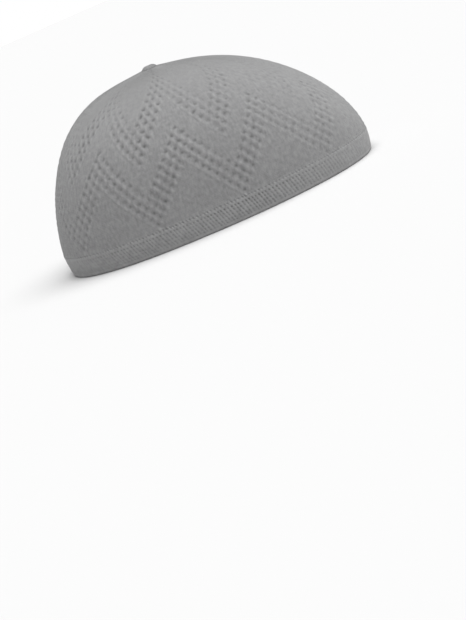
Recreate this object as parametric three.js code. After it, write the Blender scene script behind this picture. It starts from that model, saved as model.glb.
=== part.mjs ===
// Knitted skull cap of the chechia and kufi family, resting on its own rim.
// Millimetres, +Z up. The rim lies in the plane Z = 0, the front of the cap faces -Y,
// and the origin is the middle of the rim.
import * as THREE from 'three';

// Driving dimensions of the outer shape
const HALF_LENGTH = 102.0;        // front to back, at the widest ring
const HALF_WIDTH = 82.0;          // side to side, at the widest ring
const EGG = 0.12;                 // how much wider the back half is than the front half
const PLAN_POWER = 2.2;           // 2 is an ellipse, more is squarer
const WIDEST_HEIGHT = 13.7;       // the widest ring stands this far above the rim
const DOME_TOP = 96.6;            // height of the dome without its drawn-up peak
const TOP_BEHIND_MIDDLE = 10.2;   // the middle of the crown lies behind the middle of the rim
const PEAK_RISE = 2.9;            // the gather lifts the middle of the crown
const PEAK_REACH = 0.154;         // share of the dome's radius over which the lift fades
const PULL_FORWARD = 3.0;         // the gather is drawn this far towards the front
const PULL_REACH = 0.13;          // share of the dome's radius over which that pull fades
const TUCK = { front: 0.0184, back: 0.0117 };                   // the rim draws in under the widest ring
const RADIUS_POWER = { front: 1.88, side: 2.3, back: 3.25 };    // roundness of the dome's profile
const RISE_POWER = { front: 1.67, side: 2.3, back: 1.34 };

// The knitted wall and its turned hem
const WALL = 1.8;
const HEM_HEIGHT = 13.4;
const HEM_PLY = 1.15;             // each ply of the hem
const HEM_PROUD = 0.15;           // the hem's outer ply stands out from the crown
const PIECE_GAP = 0.3;
const HEM_FOLD = 2.2;             // thickness of the fold under the crown's lower edge
const EDGE_ROLL = 1.0;            // rounding of the rolled lower edge
const LINK_ROW_PROUD = 0.1;       // the link row along the top of the hem
const LINK_ROW_HEIGHT = 1.1;
const TAIL_WALL = 1.0;            // the crown's lower edge thins where the hem holds it
const SHOULDER_RISE = 0.5;        // the crown steps out over the hem within this height
const STROKE_CLEAR = 2.0;         // the lowest stroke's floor starts this far above the shoulder

// The knitted pattern: two stacked zigzags of eyelets, each a sunken stroke
const REPEATS = 10;
const SHIFTS = 9;                 // stitch steps from a peak to a valley
const STROKE_COURSES = 4;         // courses from the lowest to the highest eyelet of a stroke
const PATTERN_START = 0.0119;     // girth share from the front to the first valley
const STROKE_DEPTH = 0.5;
const STROKE_MARGIN = 0.9;        // the stroke's floor runs past its outer eyelets
const STROKE_BANK = 1.0;
const LOWER_ZIGZAG = { start: 17.4, course: 3.69, growth: 0.028, frontLift: -1.34, endLift: 0 };
const UPPER_ZIGZAG = { start: 56.8, course: 4.26, growth: 0.092, frontLift: -2.43, endLift: 1.24 };
// How the knitted columns drift round the cap with height above the first course
const FIRST_COURSE = 18;
const LAST_COURSE = 130;
const LEAN = { slope: 0.044, growth: 0.0007 };
const FAN = { start: -2.76, slope: 0.056, growth: 0.0009 };

// The drawn-up knot at the middle of the crown
const KNOT_HOLE = 2.7;
const KNOT_NECK = 2.1;
const KNOT_RADIUS = 4.9;
const KNOT_RISE = 1.85;           // height of the low button over the crown at its rim
const KNOT_EDGE = 0.2;            // thickness of the button's rim
const KNOT_FLANGE = 3.3;
const KNOT_GATHERS = 22;
const KNOT_GATHER_DEPTH = 0.02;
const KNOT_SIDES = 2 * KNOT_GATHERS;

// Faceting
const COLUMNS_PER_REPEAT = 8;
const COLUMNS = REPEATS * COLUMNS_PER_REPEAT;
const MERIDIAN_STEPS = 360;
const RING_STEPS = 1440;
const INNER_ROWS = 15;
const FULL_TURN = 2 * Math.PI;

const knit = new THREE.MeshStandardMaterial({ color: 0x8c8c8c, roughness: 0.95, metalness: 0 });
const hemKnit = new THREE.MeshStandardMaterial({ color: 0x858585, roughness: 0.93, metalness: 0 });
const knotKnit = new THREE.MeshStandardMaterial({ color: 0x808080, roughness: 0.95, metalness: 0 });

/** Mixes the front, side and back values of a size round the cap. */
function roundTheCap(sizes, angle) {
  const backness = 0.5 * (1 - Math.cos(angle));
  const sideness = Math.sin(angle) ** 2;
  const ends = sizes.front * (1 - backness) + sizes.back * backness;
  return sizes.side === undefined ? ends : ends * (1 - sideness) + sizes.side * sideness;
}

/** The widest ring of the cap, seen from above. Angle 0 is the front. */
function widestRing(angle) {
  const across = Math.sin(angle);
  const along = -Math.cos(angle);
  const reach = (Math.abs(across) ** PLAN_POWER + Math.abs(along) ** PLAN_POWER) ** (-1 / PLAN_POWER);
  const egg = (1 + EGG * along * reach) / Math.sqrt(1 + EGG * EGG);
  return { x: HALF_WIDTH * across * reach * egg, y: HALF_LENGTH * along * reach };
}

/** A point of the outer surface: travel 0 is the rim, 1 the widest ring and 2 the top. */
function surfacePoint(angle, travel) {
  const ring = widestRing(angle);
  if (travel <= 1) {
    const drawnIn = 1 - roundTheCap(TUCK, angle) * (1 - travel) ** 2;
    return new THREE.Vector3(ring.x * drawnIn, ring.y * drawnIn, WIDEST_HEIGHT * travel);
  }
  const eased = Math.min(travel - 1, 1);
  const climb = (Math.PI / 2) * (3 * eased ** 2 - 2 * eased ** 3);
  const radius = Math.max(Math.cos(climb), 0) ** (2 / roundTheCap(RADIUS_POWER, angle));
  const rise = Math.sin(climb) ** (2 / roundTheCap(RISE_POWER, angle));
  const peak = PEAK_RISE * Math.exp(-radius / PEAK_REACH);
  const pull = PULL_FORWARD * Math.exp(-((radius / PULL_REACH) ** 2));
  return new THREE.Vector3(
    ring.x * radius,
    TOP_BEHIND_MIDDLE + (ring.y - TOP_BEHIND_MIDDLE) * radius - pull,
    WIDEST_HEIGHT + (DOME_TOP - WIDEST_HEIGHT) * rise + peak,
  );
}

/** Linear interpolation in a rising table of positions. */
function lookUp(keys, values, key) {
  let low = 0;
  let high = keys.length - 1;
  while (high - low > 1) {
    const middle = (low + high) >> 1;
    if (keys[middle] > key) high = middle;
    else low = middle;
  }
  const share = (key - keys[low]) / Math.max(keys[high] - keys[low], 1e-9);
  return values[low] + (values[high] - values[low]) * Math.min(Math.max(share, 0), 1);
}

/** Running length along a row of points. */
function runningLengths(points) {
  const lengths = [0];
  for (let i = 1; i < points.length; i += 1) {
    lengths.push(lengths[i - 1] + points[i].distanceTo(points[i - 1]));
  }
  return lengths;
}

const ringAngles = Array.from({ length: RING_STEPS + 1 }, (_, i) => (i / RING_STEPS) * FULL_TURN);
const ringLengths = runningLengths(ringAngles.map((angle) => surfacePoint(angle, 1)));
const GIRTH = ringLengths[RING_STEPS];

/** The angle at a share of the girth, counted from the front. */
function angleAtShare(share) {
  return lookUp(ringLengths, ringAngles, (share - Math.floor(share)) * GIRTH);
}

/** How far a knitted column has drifted round the girth at a height, as a share of it. */
function columnDrift(share, height) {
  const above = Math.min(height, LAST_COURSE) - FIRST_COURSE;
  const lean = LEAN.slope * above + LEAN.growth * above ** 2;
  const fan = FAN.start + FAN.slope * above + FAN.growth * above ** 2;
  return (lean - fan * Math.sin(2 * FULL_TURN * share)) / GIRTH;
}

/** The meridian at an angle, with the height above the rim measured along the surface. */
function meridianAt(angle) {
  const travels = Array.from({ length: MERIDIAN_STEPS + 1 }, (_, i) => (2 * i) / MERIDIAN_STEPS);
  const lengths = runningLengths(travels.map((travel) => surfacePoint(angle, travel)));
  return { angle, travels, lengths, top: lengths[MERIDIAN_STEPS] };
}

/** Outward direction: level under the widest ring, square to the dome above it. */
function outward(angle, travel) {
  const step = 1e-3;
  const round = surfacePoint(angle + step, travel).sub(surfacePoint(angle - step, travel));
  if (travel <= 1) return new THREE.Vector3(round.y, -round.x, 0).normalize();
  const below = surfacePoint(angle, Math.max(travel - step, 1));
  const above = surfacePoint(angle, Math.min(travel + step, 1.995));
  return new THREE.Vector3().crossVectors(round, above.sub(below)).normalize();
}

/** A point on a knitted column, at a height along the surface and an offset outward. */
function knitPoint(share, height, offset) {
  const drifted = share + columnDrift(share, height);
  const meridian = meridianAt(angleAtShare(drifted));
  const travel = lookUp(meridian.lengths, meridian.travels, height);
  const direction = outward(meridian.angle, Math.min(travel, 1.995));
  return surfacePoint(meridian.angle, travel).addScaledVector(direction, offset);
}

/** Length of the meridian that a knitted column reaches the top on. */
function topHeight(share) {
  return meridianAt(angleAtShare(share + columnDrift(share, LAST_COURSE))).top;
}

/** Height of a course of one zigzag, counted up from its lowest eyelet. */
function courseHeight(zigzag, course, share) {
  const bend = zigzag.growth * course ** 2;
  const turn = FULL_TURN * share;
  const tilt = zigzag.frontLift * Math.cos(turn) + zigzag.endLift * Math.cos(2 * turn);
  return zigzag.start + zigzag.course * course + bend + tilt;
}

/** Evenly spaced rows from one height up to another, without the last one. */
function evenRows(from, to, count, offset) {
  return Array.from({ length: count }, (_, i) => ({ height: from + ((to - from) * i) / count, offset }));
}

/** The rows across one sunken stroke of a zigzag, banks included. */
function strokeRows(zigzag, fold, share, floorLimit) {
  const peakCourses = SHIFTS + STROKE_COURSES;
  const low = Math.max(courseHeight(zigzag, peakCourses - STROKE_COURSES - fold, share) - STROKE_MARGIN, floorLimit);
  const high = courseHeight(zigzag, peakCourses - fold, share) + STROKE_MARGIN;
  return [
    { height: low - STROKE_BANK, offset: 0 },
    ...evenRows(low, high, 3, -STROKE_DEPTH),
    { height: high, offset: -STROKE_DEPTH },
    { height: high + STROKE_BANK, offset: 0 },
  ];
}

/** One upright section of the crown wall, up the outside and down the inside. */
function crownSection(column) {
  const share = PATTERN_START + column / COLUMNS;
  const fold = Math.abs(((column % COLUMNS_PER_REPEAT) / COLUMNS_PER_REPEAT) * 2 * SHIFTS - SHIFTS);
  const tailOffset = HEM_PROUD - HEM_PLY - PIECE_GAP;
  const tailStart = HEM_FOLD + PIECE_GAP;
  const tailTop = HEM_HEIGHT + PIECE_GAP;
  const shoulder = tailTop + SHOULDER_RISE;
  const lowStroke = strokeRows(LOWER_ZIGZAG, fold, share, shoulder + STROKE_CLEAR);
  const highStroke = strokeRows(UPPER_ZIGZAG, fold, share, 0);
  const edge = topHeight(share) - KNOT_HOLE;
  const outside = [
    { height: tailStart, offset: tailOffset },
    { height: tailTop, offset: tailOffset },
    ...evenRows(shoulder, lowStroke[0].height, 3, 0),
    ...lowStroke,
    ...evenRows(lowStroke.at(-1).height, highStroke[0].height, 3, 0).slice(1),
    ...highStroke,
    ...evenRows(highStroke.at(-1).height, edge, 5, 0).slice(1),
    { height: edge, offset: 0 },
  ];
  const inside = [
    ...evenRows(edge, shoulder, INNER_ROWS, -WALL),
    { height: shoulder, offset: -WALL },
    { height: tailTop, offset: tailOffset - TAIL_WALL },
    { height: tailStart, offset: tailOffset - TAIL_WALL },
  ];
  return [...outside, ...inside].map((row) => knitPoint(share, row.height, row.offset));
}

/** One upright section of the turned hem, a channel open at its top. */
function hemSection(column) {
  const share = PATTERN_START + column / COLUMNS;
  const outer = HEM_PROUD;
  const slotOuter = HEM_PROUD - HEM_PLY;
  const slotInner = slotOuter - 2 * PIECE_GAP - TAIL_WALL;
  const inner = slotInner - HEM_PLY;
  const link = HEM_HEIGHT - LINK_ROW_HEIGHT;
  const profile = [
    { offset: outer - EDGE_ROLL, height: 0 },
    { offset: outer - 0.3 * EDGE_ROLL, height: 0.3 * EDGE_ROLL },
    { offset: outer, height: EDGE_ROLL },
    { offset: outer, height: 0.5 * HEM_HEIGHT },
    { offset: outer, height: link - 0.2 * LINK_ROW_HEIGHT },
    { offset: outer + LINK_ROW_PROUD, height: link + 0.2 * LINK_ROW_HEIGHT },
    { offset: outer + LINK_ROW_PROUD, height: link + 0.7 * LINK_ROW_HEIGHT },
    { offset: outer - 0.3 * HEM_PLY, height: HEM_HEIGHT },
    { offset: slotOuter, height: HEM_HEIGHT - 0.2 * LINK_ROW_HEIGHT },
    { offset: slotOuter, height: HEM_FOLD },
    { offset: slotInner, height: HEM_FOLD },
    { offset: slotInner, height: HEM_HEIGHT - 0.3 * HEM_PLY },
    { offset: slotInner - 0.5 * HEM_PLY, height: HEM_HEIGHT },
    { offset: inner, height: HEM_HEIGHT - 0.3 * HEM_PLY },
    { offset: inner, height: 0.5 * HEM_HEIGHT },
    { offset: inner, height: 0.6 * EDGE_ROLL },
    { offset: inner + 0.6 * EDGE_ROLL, height: 0 },
  ];
  return profile.map((point) => knitPoint(share, point.height, point.offset));
}

/** Joins a closed ring of closed sections into one body with its faces out. */
function sweepSections(sections) {
  const rows = sections[0].length;
  const positions = new Float32Array(sections.flat().flatMap((point) => point.toArray()));
  const indices = [];
  for (let column = 0; column < sections.length; column += 1) {
    const next = (column + 1) % sections.length;
    for (let row = 0; row < rows; row += 1) {
      const above = (row + 1) % rows;
      const corner = column * rows + row;
      const right = next * rows + row;
      const up = column * rows + above;
      const across = next * rows + above;
      const here = sections[column];
      const there = sections[next];
      const rising = here[row].distanceTo(there[above]) < there[row].distanceTo(here[above]);
      if (rising) indices.push(corner, right, across, corner, across, up);
      else indices.push(corner, right, up, right, across, up);
    }
  }
  const geometry = new THREE.BufferGeometry();
  geometry.setAttribute('position', new THREE.BufferAttribute(positions, 3));
  geometry.setIndex(indices);
  geometry.computeVertexNormals();
  return geometry;
}

/** Sections at every column round the cap. */
function roundSections(section) {
  return Array.from({ length: COLUMNS }, (_, column) => section(column));
}

/** How far the crown falls from its peak to a distance in front of it, where it falls least. */
function crownFall(distance) {
  const radius = distance / (HALF_LENGTH + TOP_BEHIND_MIDDLE);
  return PEAK_RISE * (1 - Math.exp(-radius / PEAK_REACH));
}

/** Height of the low rounded top of the button, at a share of its radius. */
function buttonTop(share) {
  return KNOT_RISE * (1 - share ** 2) - crownFall(KNOT_RADIUS);
}

/** The knot: a low gathered button on the crown, a neck through it and a flange below. */
function knotGeometry() {
  const under = -WALL - 2.2 * PIECE_GAP;
  const seat = PIECE_GAP - crownFall(KNOT_RADIUS);
  const profile = [
    [0, under - 1.0],
    [0.7 * KNOT_FLANGE, under - 1.0],
    [KNOT_FLANGE, under - 0.6],
    [KNOT_FLANGE, under - 0.4],
    [KNOT_NECK, under],
    [KNOT_NECK, PIECE_GAP - crownFall(KNOT_NECK)],
    [0.97 * KNOT_RADIUS, seat],
    [KNOT_RADIUS, seat + KNOT_EDGE],
    [0.8 * KNOT_RADIUS, buttonTop(0.8)],
    [0.6 * KNOT_RADIUS, buttonTop(0.6)],
    [0.3 * KNOT_RADIUS, buttonTop(0.3)],
    [0, buttonTop(0)],
  ].map(([radius, height]) => new THREE.Vector2(radius, height));
  const geometry = new THREE.LatheGeometry(profile, KNOT_SIDES);
  geometry.rotateX(Math.PI / 2);
  const position = geometry.attributes.position;
  for (let i = 0; i < position.count; i += 1) {
    const turn = Math.atan2(position.getY(i), position.getX(i));
    const gathered = position.getZ(i) >= seat ? KNOT_GATHER_DEPTH * Math.cos(KNOT_GATHERS * turn) : 0;
    position.setX(i, position.getX(i) * (1 + gathered));
    position.setY(i, position.getY(i) * (1 + gathered));
  }
  geometry.computeVertexNormals();
  return geometry;
}

/** A named mesh of the cap. */
function piece(name, geometry, material) {
  const mesh = new THREE.Mesh(geometry, material);
  mesh.name = name;
  return mesh;
}

const cap = new THREE.Group();
cap.add(piece('crown', sweepSections(roundSections(crownSection)), knit));
cap.add(piece('band', sweepSections(roundSections(hemSection)), hemKnit));

const knot = piece('top_knot', knotGeometry(), knotKnit);
knot.position.set(0, TOP_BEHIND_MIDDLE - PULL_FORWARD, DOME_TOP + PEAK_RISE);
cap.add(knot);

export default cap;
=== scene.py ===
"""Looks and studio for a seamless knitted skull cap of the chechia and kufi family.

The cap is three pieces: the knitted crown with its two zigzags of eyelets, the turned and
ribbed hem round the head opening, and the knot that closes the top. Each is a class that
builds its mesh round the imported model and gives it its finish. Sizes are in millimetres
unless a name says otherwise, and meshes are made in metres. A place on the knitting is a
share of the girth, counted from the front, and a height along the cloth, from the rim.
"""
import logging
import math
from collections.abc import Callable, Iterable
from dataclasses import dataclass, field
from enum import Enum

import bpy
import numpy as np
from mathutils import Matrix, Vector


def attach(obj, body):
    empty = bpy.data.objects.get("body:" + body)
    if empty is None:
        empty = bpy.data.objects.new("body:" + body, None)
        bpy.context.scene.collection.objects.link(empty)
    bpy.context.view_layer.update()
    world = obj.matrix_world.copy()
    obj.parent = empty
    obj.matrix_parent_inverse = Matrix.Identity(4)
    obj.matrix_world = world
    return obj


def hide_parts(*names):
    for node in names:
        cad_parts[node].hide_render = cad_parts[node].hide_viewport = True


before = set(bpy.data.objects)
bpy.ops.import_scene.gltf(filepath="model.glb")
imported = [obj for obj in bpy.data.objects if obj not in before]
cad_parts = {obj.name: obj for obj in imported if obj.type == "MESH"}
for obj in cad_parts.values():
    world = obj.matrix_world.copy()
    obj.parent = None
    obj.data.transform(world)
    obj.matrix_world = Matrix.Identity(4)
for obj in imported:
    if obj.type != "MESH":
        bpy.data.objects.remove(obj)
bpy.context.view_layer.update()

BODY = "root"
MM = 0.001
FULL_TURN = 2 * math.pi
QUARTER = math.pi / 2
ROW_HEIGHT = 0.97
FIRST_VALLEY = 0.0119
BAKE_MAP, STITCH_MAP, EYELET_MAP = "OFBake", "stitches", "eyelets"
PAINTED_SHADING, CORDS, PITS, REVERSE = "relief", "cords", "pits", "reverse"

Array = np.ndarray
Line = Callable[[Array], Array]
log = logging.getLogger("cap")


def smooth(low: float, high: float, value: Array) -> Array:
    """Rises smoothly from 0 at low to 1 at high, or falls where high is the smaller."""
    share = np.clip((value - low) / (high - low), 0.0, 1.0)
    return share * share * (3 - 2 * share)


def hump(value: Array) -> Array:
    """A round hump: 1 where the value is 0, and 0 from 1 on either side."""
    return np.clip(1 - np.square(value), 0.0, 1.0)


def crest(phase: Array) -> Array:
    """A wave between 0 at whole numbers and 1 half way between them."""
    return 0.5 - 0.5 * np.cos(FULL_TURN * phase)


def columns(count: int) -> Array:
    """Girth shares of a ring's columns, from the first valley of the zigzags."""
    return FIRST_VALLEY + np.arange(count) / count


def level(height: float) -> Line:
    """A line round the cap at one height."""
    return lambda share: np.full_like(share, height)


def between(first: Line, last: Line, part: float) -> Line:
    """The line that lies so large a part of the way from one line to another."""
    return lambda share: first(share) * (1 - part) + last(share) * part


def cell(place: Array, count: int) -> tuple[Array, Array]:
    """The cell of a table, of so many, that each place lies in, and how far past its start."""
    first = np.clip(np.floor(place).astype(int), 0, count - 1)
    return first, place - first


class Course(Enum):
    """The two zigzags of eyelets, by where they lie on the crown."""

    LOWER = "lower"
    UPPER = "upper"


class Face(Enum):
    """The two faces of plain knitting, and how much of the reverse each shows."""

    RIGHT = 0.0
    REVERSE = 1.0


def show(name: str, data: bpy.types.ID) -> bpy.types.Object:
    """Makes an object of the scene.

    Args:
        name: Its name.
        data: Its mesh, light or camera.

    Returns:
        The new object, at the origin.
    """
    made = bpy.data.objects.new(name, data)
    bpy.context.scene.collection.objects.link(made)
    return made


@dataclass(frozen=True)
class Wave:
    """One wave of an irregularity, with its turns round the cap and its climb in waves a millimetre."""

    turns: int
    climb: float
    phase: float
    weight: float

    def at(self, share: Array, height: Array) -> Array:
        """Its value at places on the knitting."""
        turn = self.turns * share + self.climb * height
        return self.weight * np.sin(FULL_TURN * turn + self.phase)


@dataclass(frozen=True)
class Wander:
    """A small smooth irregularity of the knitting, mostly between -1 and 1."""

    waves: tuple[Wave, ...]

    def at(self, share: Array, height: Array) -> Array:
        """Its value at places on the knitting."""
        return sum(wave.at(share, height) for wave in self.waves)


@dataclass(frozen=True)
class RoundSize:
    """A size that changes from the front to the back, and has its own value at the sides if need be."""

    front: float
    back: float
    side: float | None = None

    def at(self, angle: Array) -> Array:
        """Mixes the values.

        Args:
            angle: Angle from the front, in radians.

        Returns:
            The size there.
        """
        backness = 0.5 * (1 - np.cos(angle))
        ends = self.front * (1 - backness) + self.back * backness
        if self.side is None:
            return ends
        sideness = np.sin(angle) ** 2
        return ends * (1 - sideness) + self.side * sideness


@dataclass
class CapForm:
    """The outer form of the cap, and the way that its knitted columns run up it.

    A point of the form has an angle from the front, in radians, and a climb: -1 is the rim,
    0 the widest ring and a quarter turn the top. A column drifts round the girth on its way
    up, by a lean that is the same all round and a fan that opens it from front and back.
    """

    half_length: float = 102.0
    half_width: float = 82.0
    egg: float = 0.12
    plan_power: float = 2.2
    widest_height: float = 13.7
    dome_top: float = 96.6
    top_behind_middle: float = 10.2
    peak_rise: float = 2.9
    peak_reach: float = 0.154
    pull_forward: float = 3.0
    pull_reach: float = 0.13
    tuck: RoundSize = RoundSize(front=0.0184, back=0.0117)
    radius_power: RoundSize = RoundSize(front=1.88, back=3.25, side=2.3)
    rise_power: RoundSize = RoundSize(front=1.67, back=1.34, side=2.3)
    first_course: float = 18.0
    last_course: float = 130.0
    lean: tuple[float, float] = (0.044, 0.0007)
    fan: tuple[float, float, float] = (-2.76, 0.056, 0.0009)
    angle_steps: int = 1440
    rim_steps: int = 40
    dome_steps: int = 560
    height_steps: int = 700
    probe: float = 1e-3
    girth: float = field(init=False)

    def __post_init__(self) -> None:
        """Measures the girth and the meridians, so that heights can be looked up."""
        self._angles = np.linspace(0.0, FULL_TURN, self.angle_steps + 1)
        ring = self.surface(self._angles, np.zeros_like(self._angles))
        steps = np.linalg.norm(np.diff(ring, axis=0), axis=-1)
        self._ring_lengths = np.concatenate([[0.0], np.cumsum(steps)])
        self.girth = float(self._ring_lengths[-1])
        below = np.linspace(-1.0, 0.0, self.rim_steps, endpoint=False)
        climbs = np.concatenate([below, np.linspace(0.0, QUARTER, self.dome_steps)])
        grid = self.surface(self._angles[:, None], climbs[None, :])
        rises = np.cumsum(np.linalg.norm(np.diff(grid, axis=1), axis=-1), axis=1)
        lengths = np.concatenate([np.zeros((len(self._angles), 1)), rises], axis=1)
        self._tops = lengths[:, -1]
        shares = np.linspace(0.0, 1.0, self.height_steps + 1)
        self._climbs = np.stack([np.interp(shares * row[-1], row, climbs) for row in lengths])

    def surface(self, angle: Array, climb: Array) -> Array:
        """Points of the outer form.

        Args:
            angle: Angles from the front.
            climb: Climbs.

        Returns:
            The points, in millimetres, with X, Y and Z last.
        """
        angle, climb = np.broadcast_arrays(angle, climb)
        across, along, power = np.sin(angle), -np.cos(angle), self.plan_power
        reach = (np.abs(across) ** power + np.abs(along) ** power) ** (-1 / power)
        egg = (1 + self.egg * along * reach) / math.sqrt(1 + self.egg**2)
        ring_x, ring_y = self.half_width * across * reach * egg, self.half_length * along * reach
        below = np.clip(climb, -1.0, 0.0)
        drawn = 1 - self.tuck.at(angle) * below**2
        above = np.clip(climb, 0.0, QUARTER)
        radius = np.clip(np.cos(above), 0.0, 1.0) ** (2 / self.radius_power.at(angle))
        rise = np.sin(above) ** (2 / self.rise_power.at(angle))
        peak = self.peak_rise * np.exp(-radius / self.peak_reach)
        low = climb <= 0
        middle = self.top_behind_middle
        pull = self.pull_forward * np.exp(-((radius / self.pull_reach) ** 2))
        x = ring_x * np.where(low, drawn, radius)
        y = np.where(low, ring_y * drawn, middle + (ring_y - middle) * radius - pull)
        dome = self.widest_height + (self.dome_top - self.widest_height) * rise + peak
        z = np.where(low, self.widest_height * (1 + below), dome)
        return np.stack([x, y, z], axis=-1)

    def outward(self, angle: Array, climb: Array) -> Array:
        """Outward directions: level under the widest ring, square to the dome above it.

        Args:
            angle: Angles from the front.
            climb: Climbs.

        Returns:
            Unit vectors, with X, Y and Z last.
        """
        step = self.probe
        turn = self.surface(angle + step, climb) - self.surface(angle - step, climb)
        flat = np.stack([turn[..., 1], -turn[..., 0], np.zeros_like(climb)], axis=-1)
        lower = self.surface(angle, np.maximum(climb - step, 0.0))
        upper = self.surface(angle, np.minimum(np.maximum(climb, 0.0) + step, QUARTER - step))
        square = np.cross(turn, upper - lower)
        direction = np.where((climb <= 0)[..., None], flat, square)
        return direction / np.linalg.norm(direction, axis=-1, keepdims=True)

    def peak(self) -> Array:
        """The tip of the crown, in metres."""
        return self.surface(np.zeros(1), np.full(1, QUARTER))[0] * MM

    def angle_at(self, share: Array) -> Array:
        """The angle at a share of the girth."""
        return np.interp(np.mod(share, 1.0) * self.girth, self._ring_lengths, self._angles)

    def drift(self, share: Array, height: Array) -> Array:
        """How far knitted columns have drifted round the girth.

        Args:
            share: The columns' shares of the girth.
            height: Heights along the cloth.

        Returns:
            The drift, as a share of the girth.
        """
        above = np.minimum(height, self.last_course) - self.first_course
        lean = self.lean[0] * above + self.lean[1] * above**2
        fan = self.fan[0] + self.fan[1] * above + self.fan[2] * above**2
        return (lean - fan * np.sin(2 * FULL_TURN * share)) / self.girth

    def _column_at(self, angle: Array) -> tuple[Array, Array]:
        """The table column below each angle, and how far past it the angle lies."""
        return cell(angle / FULL_TURN * self.angle_steps, self.angle_steps)

    def top_at(self, share: Array) -> Array:
        """Height of the top along the cloth, where the columns at these shares reach it."""
        column, past = self._column_at(self.angle_at(share + self.drift(share, self.last_course)))
        return self._tops[column] * (1 - past) + self._tops[column + 1] * past

    def climb_at(self, angle: Array, height: Array) -> Array:
        """The climb at heights along the cloth.

        Args:
            angle: Angles from the front.
            height: Heights.

        Returns:
            The climbs.
        """
        column, past = self._column_at(angle)
        found = []
        for side in (column, column + 1):
            part = np.clip(height / self._tops[side], 0.0, 1.0)
            row, beyond = cell(part * self.height_steps, self.height_steps)
            found.append(self._climbs[side, row] * (1 - beyond) + self._climbs[side, row + 1] * beyond)
        return found[0] * (1 - past) + found[1] * past

    def knit_points(self, share: Array, height: Array, offset: Array) -> Array:
        """Points of the knitting.

        Args:
            share: The knitted columns' shares of the girth.
            height: Heights along the cloth.
            offset: Offsets outward from the form.

        Returns:
            The points, in metres, with X, Y and Z last.
        """
        share, height, offset = np.broadcast_arrays(share, height, offset)
        angle = self.angle_at(share + self.drift(share, height))
        climb = self.climb_at(angle, height)
        return (self.surface(angle, climb) + self.outward(angle, climb) * offset[..., None]) * MM


@dataclass(frozen=True)
class Slope:
    """How strongly one slope of a zigzag shows its eyelets, or pits, and its cords.

    Its strength is the whole one at the sides of the cap, and the share at the ends is left
    at the front and the back. The losses are the shares lost at its head and at the front,
    each with where it starts and ends: in courses, or from 0 at the back to 1 at the front.
    Joined says how far the eyelets of a row run together.
    """

    pits: float
    cords: float
    high_loss: float = 0.0
    front_loss: float = 0.0
    joined: float = 0.0
    at_ends: float = 0.6
    head: tuple[float, float] = (4.0, 12.0)
    near_front: tuple[float, float] = (0.5, 0.9)

    def left(self, share: Array, course: Array) -> Array:
        """The part of the strength that is left.

        Args:
            share: Shares of the girth.
            course: Courses above the lowest eyelet.

        Returns:
            The part, from 0 to 1.
        """
        turn = FULL_TURN * share
        ends = self.at_ends + (1 - self.at_ends) * np.sin(turn) ** 2
        high = 1 - self.high_loss * smooth(*self.head, course)
        return ends * high * (1 - self.front_loss * smooth(*self.near_front, 0.5 + 0.5 * np.cos(turn)))


@dataclass(frozen=True)
class Zigzag:
    """One zigzag, with its courses counted up from its lowest eyelet.

    The start is the mean height of that eyelet round the cap. The front lift raises it at
    the front and lowers it at the back, and the end lift raises it at both and lowers it at
    the sides. Courses grow upward, and every second peak grows more by the uneven part.
    """

    start: float
    course: float
    growth: float
    uneven: float
    front_lift: float
    end_lift: float
    falling: Slope
    rising: Slope

    def _base(self, share: Array) -> Array:
        """Height of the lowest eyelet's course round the girth."""
        turn = FULL_TURN * share
        return self.start + self.front_lift * np.cos(turn) + self.end_lift * np.cos(2 * turn)

    def _growth(self, share: Array) -> Array:
        """How the courses grow upward round the girth, in a wave that takes two repeats."""
        turn = EyeletPattern.repeats / 2 * FULL_TURN * (share - FIRST_VALLEY)
        return self.growth + self.uneven * np.sin(turn)

    def height(self, course: Array, share: Array) -> Array:
        """Height of a course along the cloth, at shares of the girth."""
        return self._base(share) + self.course * course + self._growth(share) * np.square(course)

    def course_at(self, share: Array, height: Array) -> Array:
        """Courses above the lowest eyelet, with a fraction.

        Args:
            share: Shares of the girth.
            height: Heights along the cloth.

        Returns:
            The courses there.
        """
        growth = self._growth(share)
        rest = self.course**2 + 4 * growth * (height - self._base(share))
        return (np.sqrt(np.maximum(rest, 0.0)) - self.course) / (2 * growth)


@dataclass(frozen=True)
class Eyelets:
    """What a zigzag does at points of the cloth.

    The offset is outward. The tone is painted shade, below 0 in the grooves between eyelets that
    run together. The place is two numbers that are both whole in each eyelet. Cords and pits say
    how strongly the two show.
    """

    offset: Array
    tone: Array
    place: Array
    cords: Array
    pits: Array


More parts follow.
